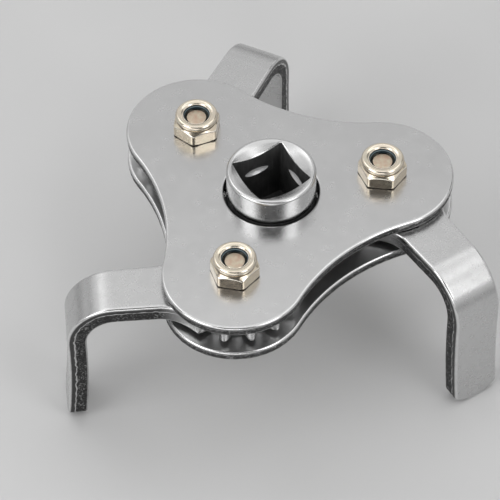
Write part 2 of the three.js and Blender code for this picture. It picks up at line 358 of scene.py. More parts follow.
def sheared_edge(top, bottom, top_round, bottom_round):
    """The edge of a blanked part, from its top face to its bottom face. Its side is marked dark, a painted shade,
    which fades in over the top rounding's lower half and out over the bottom rounding.
    """
    thickness = top - bottom
    lip = LIP * thickness
    tear_top = top - BURNISH * thickness
    tear_bottom = bottom + bottom_round
    levels = [Level(top_round + SUPPORT, top)]
    for k, angle in enumerate(quarter_turn(EDGE_STEPS)):
        inset = top_round * (1 - math.sin(angle))
        height = top - top_round * (1 - math.cos(angle))
        dark = max(0.0, 2 * k / EDGE_STEPS - 1)
        levels.append(Level(inset, height, worn=math.sin(2 * angle), dark=dark))
    for deep, up, worn, torn, ragged in TORN_LIP:
        levels.append(Level(deep * TEAR_DEPTH, tear_top + up * lip, worn, torn, ragged, dark=1))
    for k in range(1, TEAR_ROWS):
        share = k / TEAR_ROWS
        height = tear_top + (tear_bottom - tear_top) * share
        levels.append(Level(TEAR_DEPTH, height, torn=1, ragged=1 - share, dark=1))
    for angle in quarter_turn(EDGE_STEPS - 2):
        torn = 1 - math.sin(angle)
        inset = TEAR_DEPTH + bottom_round * (1 - math.cos(angle))
        worn = BURR_WEAR * math.sin(2 * angle)
        levels.append(Level(inset, bottom + bottom_round * torn, worn, torn, dark=torn))
    levels.append(Level(TEAR_DEPTH + bottom_round + SUPPORT, bottom))
    return levels


def plain_edge(top, bottom, round_off, dark=0.0):
    """The edge of a drilled hole or a turned face, lightly rounded at both ends. Its dark share is painted shade
    on the wall.
    """
    turned = HOLE_CORNER * round_off
    bright = 1 - dark
    return [
        Level(round_off + SUPPORT, top),
        Level(round_off, top, worn=HOLE_WEAR),
        Level(turned, top - turned, worn=bright, dark=dark),
        Level(0, top - round_off, worn=HOLE_WEAR * bright, dark=dark),
        Level(0, bottom + round_off, worn=HOLE_WEAR * bright, dark=dark),
        Level(turned, bottom + turned, worn=1),
        Level(round_off, bottom, worn=HOLE_WEAR),
        Level(round_off + SUPPORT, bottom),
    ]


def wander(at):
    """How far the torn line strays from its level at a point, from about -1 to 1."""
    return sum(share * noise.noise(at * waves) for waves, share in WANDER_WAVES)


def edge_rings(body, points, levels, shares=None):
    """Rings that carry an edge's levels round an outline. Shares scale the edge at each point."""
    normals = outward_normals(points)
    shares = shares or [1.0] * len(points)
    rings = []
    for level in levels:
        placed = []
        for point, normal, share in zip(points, normals, shares):
            at = Vector((point.x, point.y, level.height))
            inset = level.inset * share
            height = level.height + level.ragged * share * TEAR_WANDER * wander(at)
            if level.torn > 0.5:
                inset += share * TEAR_GRAIN * (noise.noise(at * GRAIN_WAVES) + GRAIN_BIAS)
            placed.append((*(point - normal * inset), height))
        ring = body.ring(placed, level.worn, level.torn, level.dark)
        for vertex, share in zip(ring, shares):
            # The teeth get neither the torn metal nor the painted shade of the bar's sides.
            marked = (share - TOOTH_EDGE) / (1 - TOOTH_EDGE)
            vertex[body.torn] *= marked
            vertex[body.dark] *= marked
        rings.append(ring)
    return rings


def revolved(body, levels, angles):
    """Rings about the Z axis from levels of radius, height, wear and perhaps dark, which is painted shade. The
    first two may be functions of the angle."""
    rings = []
    for radius, height, worn, *dark in levels:
        points = []
        for angle in angles:
            r = radius(angle) if callable(radius) else radius
            z = height(angle) if callable(height) else height
            points.append((*polar(r, angle), z))
        rings.append(body.ring(points, worn, dark=sum(dark)))
    return rings


def turn_runs(body, runs, angles):
    """Skins runs of levels, each with its material slot, and joins each run to the one before. The joint
    takes slot 0 if the later run has it, or else the higher slot. Returns the first and the last ring."""
    first = last = None
    for levels, slot in runs:
        rings = revolved(body, levels, angles)
        if last:
            body.bridge(last, rings[0], slot and max(slot, before))
        body.skin(rings, slot)
        first = first or rings[0]
        last, before = rings[-1], slot
    return first, last


def even_angles(count, start=0.0):
    return [start + 2 * math.pi * k / count for k in range(count)]


def arc(centre, radius, start, stop, steps, worn=0.0):
    """Levels along an arc of a turned profile. Directions are degrees, with 90 up."""
    levels = []
    for k in range(steps + 1):
        angle = math.radians(start + (stop - start) * k / steps)
        point = polar(radius, angle)
        levels.append((centre[0] + point.x, centre[1] + point.y, worn))
    return levels


# ======== Materials ========

class Graph:
    """The nodes of a material or a world, built on its shader. Texture sizes are given in millimetres."""

    def __init__(self, name, kind="materials", shader="Principled BSDF", space="Object"):
        self.block = getattr(bpy.data, kind).new(name)
        self.block.use_nodes = True
        self.tree = self.block.node_tree
        self.surface = self.tree.nodes[shader]
        self.place = self.node("ShaderNodeTexCoord").outputs[space]

    def node(self, kind, inputs=None, **settings):
        made = self.tree.nodes.new(kind)
        for key, value in settings.items():
            setattr(made, key, value)
        for key, value in (inputs or {}).items():
            self.feed(made.inputs[key], value)
        return made

    def feed(self, socket, value):
        if isinstance(value, bpy.types.NodeSocket):
            self.tree.links.new(value, socket)
        else:
            socket.default_value = value

    def noise(self, size, detail=2.0, stretch=(1, 1, 1), roughness=0.5):
        """Noise whose features are about this many millimetres across, from 0 to 1."""
        where = self.node("ShaderNodeMapping", {"Vector": self.place, "Scale": stretch})
        inputs = {"Scale": 1 / (size * MM), "Detail": detail, "Roughness": roughness}
        inputs["Vector"] = where.outputs["Vector"]
        return self.node("ShaderNodeTexNoise", inputs).outputs["Fac"]

    def mark(self, name):
        return self.node("ShaderNodeAttribute", attribute_name=name).outputs["Fac"]

    def remap(self, value, low=0.0, high=1.0, start=0.3, stop=0.7):
        """Value between start and stop, spread from low to high and held at the ends."""
        inputs = {"Value": value, "From Min": start, "From Max": stop, "To Min": low, "To Max": high}
        return self.node("ShaderNodeMapRange", inputs).outputs["Result"]

    def product(self, a, b):
        return self.node("ShaderNodeMath", {0: a, 1: b}, operation="MULTIPLY").outputs["Value"]

    def blend(self, share, a, b):
        """One value or colour mixed into another."""
        made = self.node("ShaderNodeMix", data_type="RGBA")
        self.feed(made.inputs["Factor"], share)
        for key, value in (("A", a), ("B", b)):
            socket = next(s for s in made.inputs if s.name == key and s.type == "RGBA")
            self.feed(socket, grey(value) if isinstance(value, float) else value)
        return next(s for s in made.outputs if s.type == "RGBA")

    def set(self, **inputs):
        for key, value in inputs.items():
            self.feed(self.surface.inputs[key.replace("_", " ")], value)

    def finish_nickel(self, colour, mottle, light, roughness, metallic=1.0):
        """Mottled roughness, with rough metal where torn and smooth, lighter metal where worn."""
        patches = self.noise(size=1.1, detail=3)
        worn = self.product(self.mark("worn"), self.remap(patches, low=0.65))
        colour = self.blend(worn, colour, grey(min(1.0, light * POLISH)))
        rough = self.remap(mottle, *(roughness + drift for drift in ROUGHNESS_DRIFT))
        rough = self.blend(self.mark("torn"), rough, TORN_ROUGHNESS)
        rough = self.blend(worn, rough, roughness * POLISHED_ROUGHNESS)
        self.set(Base_Color=colour, Metallic=metallic, Roughness=rough)

    def bump(self, heights):
        """Stacks (height, depth in millimetres) pairs into one normal."""
        normal = None
        for height, depth in heights:
            inputs = {"Height": height, "Distance": depth * MM, "Strength": 1.0}
            if normal:
                inputs["Normal"] = normal
            normal = self.node("ShaderNodeBump", inputs).outputs["Normal"]
        self.feed(self.surface.inputs["Normal"], normal)


def grey(value, warmth=0.0):
    return (value + warmth, value, value - warmth, 1)


# Passivated zinc is gold and drifts to pink and green. It is paler where worn, with painted shade in its creases
# and round its foot.
GOLD = (0.71, 0.63, 0.49, 1)
PINK_GOLD = (0.70, 0.59, 0.48, 1)
GREEN_GOLD = (0.63, 0.63, 0.50, 1)
WORN_GOLD = (0.93, 0.89, 0.81, 1)
CREASE_SHADE = (0.07, 0.05, 0.035, 1)
PINK_END = (0.52, 0.37, 0.28, 1)
GREEN_END = (0.58, 0.53, 0.41, 1)
DEEP_BLUE = (0.008, 0.020, 0.030, 1)
SOFT_BLUE = (0.014, 0.035, 0.050, 1)
CREST_HIGHLIGHT_BLUE = (0.16, 0.22, 0.24, 1)

SHADE = 0.94  # how much darker a nickel face gets in its darker patches
POLISH = 1.3  # how much lighter nickel is where it is worn
POLISHED_ROUGHNESS = 0.6  # share of its roughness that it keeps there
ROUGHNESS_DRIFT = (-0.03, 0.04)
TORN_ROUGHNESS = 0.5
GAP_SHADE = grey(0.02)


def nickel(name, light, dark, side_tone_and_shade, roughness):
    """Bead-blasted and tumbled nickel plate: mottled satin faces, polished edges, and sheared sides whose dark
    colour is partly the duller torn metal and partly painted shade.
    """
    graph = Graph(name)
    cloud = graph.noise(size=11, detail=3)
    mottle = graph.noise(size=2.2, detail=3)
    torn = graph.mark("torn")
    face = graph.blend(graph.remap(cloud), grey(dark), grey(light))
    face = graph.blend(graph.remap(mottle, high=0.3), face, grey(dark * 0.95))
    speck = graph.noise(size=0.45, detail=3, roughness=0.7)
    fleck = graph.remap(speck, start=0.52, stop=0.66)
    patch = graph.remap(graph.noise(size=2.4), low=0.15)
    # The sheared sides' dark colours, with lighter flecks, are painted shade as well as the torn metal's own
    # duller tone.
    side = graph.blend(graph.product(fleck, patch), grey(side_tone_and_shade * 0.6), grey(light * 0.9))
    side = graph.blend(torn, grey(side_tone_and_shade), side)
    colour = graph.blend(graph.mark("dark"), face, side)
    graph.finish_nickel(colour, mottle, light, roughness)
    tear = graph.product(torn, graph.noise(size=0.45, detail=4, roughness=0.7))
    graph.bump([(graph.noise(size=5.5), 0.03), (graph.noise(size=0.7), 0.0006), (tear, 0.14)])
    return graph.block


def turned_nickel(name, light, roughness, metallic=1.0):
    """The same plate on a turned part, with faint rings left by the lathe."""
    graph = Graph(name)
    mottle = graph.noise(size=1.8, detail=3)
    rings = graph.noise(size=0.3, stretch=(0.06, 0.06, 1))
    face = graph.blend(graph.remap(mottle), grey(light * SHADE), grey(light))
    colour = graph.blend(graph.mark("dark"), face, GAP_SHADE)
    graph.finish_nickel(colour, mottle, light, roughness, metallic)
    graph.bump([(graph.noise(size=4.0), 0.012), (rings, 0.0015)])
    return graph.block


def dark_bore(name):
    """Unplated inside of the drive socket: dark scale with broaching marks down the walls. The same material is
    painted shade on the hub's barrel and the gear's top face under the top plate.
    """
    graph = Graph(name)
    broach = graph.noise(size=0.5, detail=3, stretch=(1, 1, 0.06))
    stain = graph.noise(size=2.5, detail=3)
    scale = graph.blend(graph.remap(stain), grey(0.05), grey(0.09))
    scratched = graph.remap(broach, high=0.5, start=0.5, stop=0.75)
    colour = graph.blend(scratched, scale, grey(0.16))
    graph.set(Base_Color=colour, Metallic=0.5, Roughness=graph.remap(broach, low=0.42, high=0.6))
    graph.bump([(broach, 0.02), (graph.noise(size=0.3), 0.005)])
    return graph.block


def yellow_zinc(name):
    """Yellow passivated zinc, which is glossy."""
    graph = Graph(name)
    drift = graph.noise(size=2.6)
    patch = graph.noise(size=1.3, detail=3)
    colour = graph.blend(graph.remap(drift, high=0.7), GOLD, PINK_GOLD)
    colour = graph.blend(graph.remap(patch, high=0.45, start=0.5, stop=0.75), colour, GREEN_GOLD)
    worn = graph.product(graph.mark("worn"), graph.remap(patch, low=0.5))
    colour = graph.blend(worn, colour, WORN_GOLD)
    # Dark where marked, at the foot and in the crease under the collar: painted shade.
    colour = graph.blend(graph.mark("dark"), colour, CREASE_SHADE)
    rough = graph.remap(graph.noise(size=0.9, detail=3), low=0.13, high=0.22)
    graph.set(Base_Color=colour, Metallic=1.0, Roughness=rough)
    graph.bump([(graph.noise(size=1.1, detail=3), 0.012), (graph.noise(size=0.3), 0.002)])
    return graph.block


def cut_end(name):
    """Sawn end of a bolt, where the plating took pinkish."""
    graph = Graph(name)
    scratch = graph.noise(size=0.25, detail=3, stretch=(1, 0.15, 1))
    colour = graph.blend(graph.remap(graph.noise(size=0.9, detail=3)), PINK_END, GREEN_END)
    graph.set(Base_Color=colour, Metallic=0.75, Roughness=graph.remap(scratch, low=0.36, high=0.52))
    graph.bump([(scratch, 0.012), (graph.noise(size=0.8), 0.05)])
    return graph.block


def oiled_steel(name):
    """Plain steel of the washers, unevenly stained and bright on its edges."""
    graph = Graph(name)
    stain = graph.noise(size=2.0, detail=3)
    colour = graph.blend(graph.remap(stain), grey(0.34), grey(0.48, warmth=0.006))
    colour = graph.blend(graph.mark("worn"), colour, grey(0.62))
    graph.set(Base_Color=colour, Metallic=1.0, Roughness=graph.remap(stain, low=0.28, high=0.42))
    graph.bump([(graph.noise(size=0.25), 0.004)])
    return graph.block


def nylon(name):
    """Dark blue nylon, with a painted highlight along its crest."""
    graph = Graph(name)
    colour = graph.blend(graph.remap(graph.noise(size=1.2)), DEEP_BLUE, SOFT_BLUE)
    # Pale blue where the crest is marked: a painted highlight.
    colour = graph.blend(graph.mark("worn"), colour, CREST_HIGHLIGHT_BLUE)
    rough = graph.remap(graph.noise(size=0.6), low=0.25, high=0.4)
    graph.set(Base_Color=colour, Roughness=rough)
    graph.bump([(graph.noise(size=0.5, detail=3), 0.02)])
    return graph.block


# The side tones below are painted shade on the sheared sides as well as their own duller tone.
plate_nickel = nickel("plate_nickel", light=0.59, dark=0.56, side_tone_and_shade=0.11, roughness=0.24)
# The bottom plate's nickel is paler than the top plate's: painted light that lifts its shaded strip under the top
# plate.
lower_nickel_painted_light = nickel("lower_nickel_painted_light", light=0.64, dark=0.60, side_tone_and_shade=0.11, roughness=0.31)
jaw_nickel = nickel("jaw_nickel", light=0.59, dark=0.56, side_tone_and_shade=0.08, roughness=0.26)
hub_nickel = turned_nickel("hub_nickel", light=0.62, roughness=0.24)
# A paler, less metallic copy of the hub's nickel: a painted highlight on the groove's upturned half.
groove_highlight_nickel = turned_nickel("groove_highlight_nickel", light=0.92, roughness=0.35, metallic=0.3)
bore_scale_and_shade = dark_bore("bore_scale_and_shade")
zinc = yellow_zinc("yellow_zinc")
bolt_end = cut_end("bolt_end")
washer_steel = oiled_steel("washer_steel")
blue_nylon = nylon("blue_nylon")


# ======== Plates ========

def plate_outline():
    """A round lobe about each pivot, joined by hollow waists tangent to both neighbours."""
    reach = lobe_radius + WAIST_RADIUS
    waist_distance = (bolt_circle + math.sqrt(4 * reach**2 - 3 * bolt_circle**2)) / 2
    to_waist = polar(waist_distance, math.pi / 3) - polar(bolt_circle, 0)
    half_sweep = math.atan2(to_waist.y, to_waist.x)
    waist_sweep = 2 * (half_sweep - math.pi / 3)
    points = []
    for pivot in pivots:
        turn = math.atan2(pivot.y, pivot.x)
        waist = polar(waist_distance, turn + math.pi / 3)
        points += arc_points(pivot.to_2d(), lobe_radius, turn - half_sweep, 2 * half_sweep)
        points += arc_points(waist, WAIST_RADIUS, turn + half_sweep + math.pi, -waist_sweep)
    return points


def arc_points(centre, radius, start, sweep):
    """Points along an arc at even steps, without its last."""
    count = round(abs(sweep) * radius / OUTLINE_STEP)
    return [centre + polar(radius, start + sweep * k / count) for k in range(count)]


def hole_rings(body, centre, radius, count, levels):
    """A hole's edge. Its circle runs clockwise, so that its normals point into the hole."""
    circle = [centre + polar(radius, -angle) for angle in even_angles(count)]
    rings = edge_rings(body, circle, levels)
    body.skin(rings)
    return rings


def build_plate(node, hole_radius, material):
    """A blanked plate with its centre hole and three bolt holes."""
    top = highest(node).z
    bottom = lowest(node).z
    body = Body()
    edge = sheared_edge(top, bottom, *PLATE_ROUNDS)
    outer = edge_rings(body, plate_outline(), edge)
    body.skin(outer)
    # The centre hole's wall is marked dark: painted shade in the gap round the hub.
    edge = plain_edge(top, bottom, CENTRE_HOLE_EDGE, dark=1.0)
    holes = [hole_rings(body, Vector((0, 0)), hole_radius, CENTRE_HOLE_POINTS, edge)]
    edge = plain_edge(top, bottom, HOLE_EDGE)
    for pivot in pivots:
        holes.append(hole_rings(body, pivot.to_2d(), BOLT_HOLE_RADIUS, BOLT_HOLE_POINTS, edge))
    for end in (0, -1):
        body.fill(outer[end], *[rings[end] for rings in holes])
    body.stand_in(node, "pressing", [material], "satin_nickel")


# ======== Gear teeth ========

Gear = namedtuple("Gear", "teeth tip root thickness")
standard_tooth = math.pi * GEAR_MODULE / 2 - TOOTH_THINNING
drive_root = bolt_circle - JAW_TIP_RADIUS - ROOT_CLEARANCE
jaw_root = bolt_circle - DRIVE_TIP_RADIUS - ROOT_CLEARANCE
DRIVE = Gear(DRIVE_TEETH, DRIVE_TIP_RADIUS, drive_root, standard_tooth - TOOTH_SHIFT)
JAW = Gear(JAW_TEETH, JAW_TIP_RADIUS, jaw_root, standard_tooth + TOOTH_SHIFT)


def tooth_side(gear):
    """(radius, angle from the tooth's middle) pairs down one side, from the tip to mid-gap."""
    pitch_radius = GEAR_MODULE * gear.teeth / 2
    base = pitch_radius * math.cos(PRESSURE_ANGLE)
    tip = gear.tip - TIP_WEAR
    pitch_half = gear.thickness / (2 * pitch_radius)

    def half_angle(radius):
        flank = math.acos(min(1.0, base / radius))
        return pitch_half + involute(PRESSURE_ANGLE) - involute(flank)

    shoulder = tip - TIP_ROUND
    side = [Vector((tip, 0)), Vector((tip, TIP_FLAT * half_angle(tip)))]
    crown = Vector((shoulder, half_angle(shoulder)))
    side += bezier(side[-1], Vector((tip, half_angle(tip))), crown, FLANK_STEPS)
    for k in range(FLANK_STEPS + 1):
        radius = shoulder + (base - shoulder) * k / FLANK_STEPS
        side.append(Vector((radius, half_angle(radius))))
    foot = Vector((gear.root, half_angle(base) + FILLET / gear.root))
    side += bezier(side[-1], Vector((gear.root, half_angle(base))), foot, FLANK_STEPS)
    side.append(foot)
    side.append(Vector((gear.root, math.pi / gear.teeth)))
    return side


def involute(angle):
    return math.tan(angle) - angle


def whole_tooth(gear, centre):
    """Outline of one tooth, counterclockwise, with the gap before it and without the gap after it."""
    side = tooth_side(gear)
    rising = [polar(radius, centre - angle) for radius, angle in reversed(side)]
    falling = [polar(radius, centre + angle) for radius, angle in side[1:-1]]
    return rising + falling


# ======== Drive gear ========

hub_top = highest("drive_gear").z
socket_wall = Vector(mounts["drive_socket_wall"]["axis"])
socket_turn = math.atan2(socket_wall.y, socket_wall.x)
TURNED, LIT, SCALE_AND_SHADE = 0, 1, 2  # material slots of the drive gear


def square_radius(angle):
    """Distance from the axis to the socket's wall, with rounded corners."""
    off = abs((angle - socket_turn + math.pi / 4) % (math.pi / 2) - math.pi / 4)
    flat = SOCKET_HALF / math.cos(off)
    inner = SOCKET_HALF - SOCKET_CORNER
    if flat * math.sin(off) <= inner:
        return flat
    along = inner * (math.cos(off) + math.sin(off))
    return along + math.sqrt(along**2 - 2 * inner**2 + SOCKET_CORNER**2)


def square(extra=0.0):
    """The socket's wall moved outward, as a radius for each angle."""
    return lambda angle: square_radius(angle) + extra


def dish(radius):
    """Height of the hub's dished end at a radius."""
    return hub_top - DISH_SLOPE * (RIM_RADIUS - radius)


def mouth(out, drop):
    """Height of the dish a little way out from the socket's wall, less a drop."""
    return lambda angle: dish(square_radius(angle) + out) - drop


def groove(level):
    """Radius of the detent groove at a level. It cuts the walls and leaves the corners."""
    off = (level - DETENT_LEVEL) / DETENT_HALF
    bottom = SOCKET_HALF + DETENT_DEPTH * (1 - off**2)
    return lambda angle: max(square_radius(angle), bottom)


def above_groove(share):
    """Height of the wall from the groove's top to the foot of the lip."""
    low = DETENT_LEVEL + DETENT_HALF
    return lambda angle: low + (mouth(0, SOCKET_EDGE)(angle) - low) * share


def across_dish(share):
    """A level of the dish, from the socket's lip out to the rim."""
    def radius(angle):
        start = min(square_radius(angle) + SOCKET_EDGE, RIM_RADIUS - DISH_LEAST)
        return start + (RIM_RADIUS - DISH_MARGIN - start) * share

    return (radius, lambda angle: dish(radius(angle)), 0)


def socket_sections():
    """The socket from its floor to its lip, as runs of levels with their material slots."""
    floor = [(radius, 0, 0) for radius in (*FLOOR_RINGS, square(-4 * FLOOR_FILLET))]
    floor.append((square(-FLOOR_FILLET), FLOOR_FILLET, 0))
    lower_wall = [(square(), level, 0) for level in WALL_ROWS]
    levels = [DETENT_LEVEL + DETENT_HALF * (2 * k / DETENT_STEPS - 1) for k in range(DETENT_STEPS + 1)]
    grooved = [(groove(level), level, 0) for level in levels]
    half = DETENT_STEPS // 2 + 1
    upper_wall = [(square(), above_groove(share), 0) for share in UPPER_WALL_ROWS]
    # The groove's lower half, which faces up, takes the pale lit material, a painted highlight; its upper half
    # takes the dark one, a painted shade.
    return [(floor + lower_wall, SCALE_AND_SHADE), (grooved[:half], LIT), (grooved[half:] + upper_wall, SCALE_AND_SHADE)]


def hub_sections():
    """The hub from the socket's lip, over its rim and down to the gear."""
    lip = [(square(out), mouth(out, drop), worn) for out, drop, worn in SOCKET_LIP]
    dished = [across_dish(share) for share in DISH_ROWS]
    rim = [(RIM_RADIUS + out, hub_top + up, RIM_WEAR) for out, up in RIM_CORNER]
    rim += arc((HUB_RADIUS - HUB_EDGE, hub_top - HUB_EDGE), HUB_EDGE, 90, 0, RIM_STEPS, RIM_WEAR)
    heights = (hub_top - HUB_EDGE - SUPPORT, BARREL_ROW, plate_top - GAP_START)
    barrel = [(HUB_RADIUS, height, 0) for height in heights]
    # Deeper in the plate's hole the barrel takes the dark material: painted shade in the gap.
    sunk = [(HUB_RADIUS, plate_top - GAP_DARK, 0)]
    sunk += [(HUB_RADIUS, GEAR_TOP + up, 0) for up in HUB_FOOT]
    sunk.append((HUB_RADIUS + HUB_FILLET, GEAR_TOP, 0))
    return [(lip + dished + rim + barrel, TURNED), (sunk, SCALE_AND_SHADE)]


def journal_levels(bottom):
    """The turned end below the gear, which runs in the bottom plate."""
    levels = [(JOURNAL_RADIUS + JOURNAL_FILLET, GEAR_BOTTOM, 0)]
    levels.append((JOURNAL_RADIUS, GEAR_BOTTOM - JOURNAL_FILLET, 0))
    inner = JOURNAL_RADIUS - JOURNAL_EDGE
    levels += arc((inner, bottom + JOURNAL_EDGE), JOURNAL_EDGE, 0, -90, JOURNAL_STEPS, JOURNAL_WEAR)
    return levels + [(radius, bottom, 0) for radius in (inner - JOURNAL_EDGE, *JOURNAL_RINGS)]


def restore_corners(body):
    """The detent groove doesn't reach the socket's corners, so its faces there are dark scale again."""
    for face in body.bm.faces:
        centre = face.calc_center_median()
        flush = square_radius(math.atan2(centre.y, centre.x)) + FLUSH
        if face.material_index == LIT and centre.to_2d().length < flush:
            face.material_index = SCALE_AND_SHADE


def build_drive_gear():
    """The hub, its gear and its journal in one turned piece, worked from the socket's floor outward."""
    bottom = lowest("drive_gear").z
    phase = tooth_angle("drive_gear", Vector((0, 0, 0)), DRIVE)
    pitch = 2 * math.pi / DRIVE_TEETH
    outline = []
    for k in range(DRIVE_TEETH):
        outline += whole_tooth(DRIVE, phase + k * pitch)
    angles = even_angles(len(outline), phase - pitch / 2)
    body = Body()
    floor, last = turn_runs(body, socket_sections() + hub_sections(), angles)
    body.close(floor, 0, SCALE_AND_SHADE)
    restore_corners(body)
    teeth = edge_rings(body, outline, plain_edge(GEAR_TOP, GEAR_BOTTOM, GEAR_EDGE))
    # The gear's top face under the top plate takes the dark material too: painted shade.
    body.bridge(last, teeth[0], SCALE_AND_SHADE)
    body.skin(teeth)
    journal, end = turn_runs(body, [(journal_levels(bottom), TURNED)], angles)
    body.bridge(teeth[-1], journal)
    body.close(end, bottom)
    materials = [hub_nickel, groove_highlight_nickel, bore_scale_and_shade]
    body.stand_in("drive_gear", "turned", materials, "machined_steel", "drive")


# ======== Jaws ========

def leg_end_angle():
    """How far round its slow curve the leg turns back before it reaches the level of the tip."""
    centre = (BEND_RADIUS + LEG_RADIUS) * math.cos(BEND_ANGLE) - BEND_RADIUS
    return BEND_ANGLE - math.acos((centre - (tip_level - jaw_top)) / LEG_RADIUS)


flat_length = BEND_START + BEND_RADIUS * BEND_ANGLE + LEG_RADIUS * leg_end_angle()


def bar_half(along):
    """Half the bar's width at a distance along the flat blank."""
    mid_bend = BEND_START + BEND_RADIUS * BEND_ANGLE / 2
    if along < mid_bend:
        return BAR_HALF + (BEND_HALF - BAR_HALF) * (along - NECK_START) / (mid_bend - NECK_START)
    return BEND_HALF + (TIP_HALF - BEND_HALF) * (along - mid_bend) / (flat_length - mid_bend)


def bent(point):
    """A point of the flat blank, top face at height 0, moved to where it goes when the bar is bent."""
    along, across, depth = point
    bend_length = BEND_RADIUS * BEND_ANGLE
    if along <= BEND_START:
        return Vector((along, across, jaw_top + depth))
    if along <= BEND_START + bend_length:
        radius = BEND_RADIUS + depth
        angle = (along - BEND_START) / BEND_RADIUS
        return Vector((BEND_START + radius * math.sin(angle), across,
                       jaw_top - BEND_RADIUS + radius * math.cos(angle)))
    past_bend = along - BEND_START - bend_length
    levelling = max(0.0, 1 - (flat_length - along) / TIP_LEVELLING)
    past_bend += depth * levelling / math.tan(BEND_ANGLE - leg_end_angle())
    angle = BEND_ANGLE - past_bend / LEG_RADIUS
    centre = BEND_RADIUS + LEG_RADIUS
    radius = LEG_RADIUS - depth
    x = BEND_START + centre * math.sin(BEND_ANGLE) - radius * math.sin(angle)
    z = jaw_top - BEND_RADIUS + centre * math.cos(BEND_ANGLE) - radius * math.cos(angle)
    return Vector((x, across, z))


def tip_points():
    """The rounded end of the leg, from its right corner to its left."""
    def end(across):
        return Vector((flat_length - TIP_RISE * abs(across / TIP_HALF) ** TIP_BOW, across))

    inner = TIP_HALF - TIP_CORNER
    corner = Vector((end(TIP_HALF).x, -TIP_HALF))
    start = Vector((corner.x - TIP_CORNER, -bar_half(corner.x - TIP_CORNER)))
    right = [start, *bezier(start, corner, end(-inner), CORNER_STEPS)]
    middle = [end(-inner + 2 * inner * k / TIP_STEPS) for k in range(TIP_STEPS + 1)]
    left = [Vector((point.x, -point.y)) for point in reversed(right)]
    return right + middle + left


def root_teeth(clocking):
    """Outline of the jaw's teeth, counterclockwise from the upper side of the neck to the lower."""
    pitch = 2 * math.pi / JAW_TEETH
    last = JAW_TEETH - FIRST_TOOTH
    side = tooth_side(JAW)
    teeth = [polar(radius, clocking + FIRST_TOOTH * pitch + angle) for radius, angle in side[:-1]]
    for k in range(FIRST_TOOTH + 1, last):
        teeth += whole_tooth(JAW, clocking + k * pitch)
    teeth += [polar(radius, clocking + last * pitch - angle) for radius, angle in reversed(side)]
    return teeth


def jaw_outline(clocking):
    """Flat outline of a jaw, counterclockwise, with each point's edge share, and the counts of stations
    along the bar and of points round its tip."""
    tip_start = flat_length - TIP_RISE - TIP_CORNER - TIP_LEAD
    count = round((tip_start - NECK_START) / STATION)
    stations = [NECK_START + (tip_start - NECK_START) * k / count for k in range(count + 1)]
    right = [Vector((x, -bar_half(x))) for x in stations]
    left = [Vector((x, bar_half(x))) for x in reversed(stations)]
    tip = tip_points()
    teeth = root_teeth(clocking)
    flare = BAR_HALF + NECK_FLARE
    root_end = NECK_START - NECK_CURVE
    upper = bezier(left[-1], Vector((root_end, flare)), teeth[0], NECK_STEPS)
    lower = bezier(teeth[-1], Vector((root_end, -flare)), right[0], NECK_STEPS)
    bar = right + tip + left
    fade = [1 + (TOOTH_EDGE - 1) * k / len(upper) for k in range(1, len(upper) + 1)]
    shares = [1.0] * len(bar) + fade + [TOOTH_EDGE] * len(teeth) + fade[::-1]
    return bar + upper + teeth + lower, shares, len(stations), len(tip)


def face_grid(body, ring, stations, tips, hole):
    """A jaw's top or bottom face inside its edge: rows across the bar, and fills for its two ends."""
    rows = []
    for k in range(stations):
        right = ring[k]
        left = ring[2 * stations + tips - 1 - k]
        inner = [right.co.lerp(left.co, j / ROW) for j in range(1, ROW)]
        rows.append([right, *body.ring(inner), left])
    for first, second in zip(rows, rows[1:]):
        for j in range(ROW):
            body.bm.faces.new((first[j], second[j], second[j + 1], first[j + 1]))
    tip_loop = ring[stations - 1 : stations + tips + 1]
    body.fill(tip_loop + rows[-1][-2:0:-1])
    root_loop = ring[2 * stations + tips - 1 :] + rows[0][:-1]
    body.fill(root_loop, hole)


def build_jaw(number, pivot):
    """A jaw, drawn flat along X from its pivot, then bent, and turned and moved to its CAD node."""
    node = f"jaw_{number}"
    arm = mm(mounts[f"jaw_tip_{number}"]["pos_m"]) - pivot
    turn = math.atan2(arm.y, arm.x)
    clocking = tooth_angle(node, pivot, JAW) - turn
    pitch = 2 * math.pi / JAW_TEETH
    clocking = (clocking + pitch / 2) % pitch - pitch / 2
    points, shares, stations, tips = jaw_outline(clocking)
    body = Body()
    edge = sheared_edge(0, -JAW_THICKNESS, *JAW_ROUNDS)
    rings = edge_rings(body, points, edge, shares)
    body.skin(rings)
    edge = plain_edge(0, -JAW_THICKNESS, JAW_HOLE_EDGE)
    hole = hole_rings(body, Vector((0, 0)), BOLT_HOLE_RADIUS, BOLT_HOLE_POINTS, edge)
    for end in (0, -1):
        face_grid(body, rings[end], stations, tips, hole[end])
    for vertex in body.bm.verts:
        vertex.co = bent(vertex.co)
    body.stand_in(node, "bar", [jaw_nickel], "forged_nickel", node, centre=pivot, turn=turn)


# ======== Fasteners and washers ========

def hex_radius(angle):
    """Radius of a hexagon with a corner at angle 0 and its corners turned down a little."""
    off = angle % (math.pi / 3) - math.pi / 6
    return min(ACROSS_FLATS / 2 / math.cos(off), CORNER_RADIUS)


def hexagon(extra=0.0, scale=1.0, centre=0.0):
    """A length for each angle: the hexagon's radius past a centre value, scaled, and a fixed extra."""
    return lambda angle: scale * (hex_radius(angle) - centre) + extra


def risen(section, level):
    """A section with its heights measured from a level."""
    return [(radius, level + height, *marks) for radius, height, *marks in section]


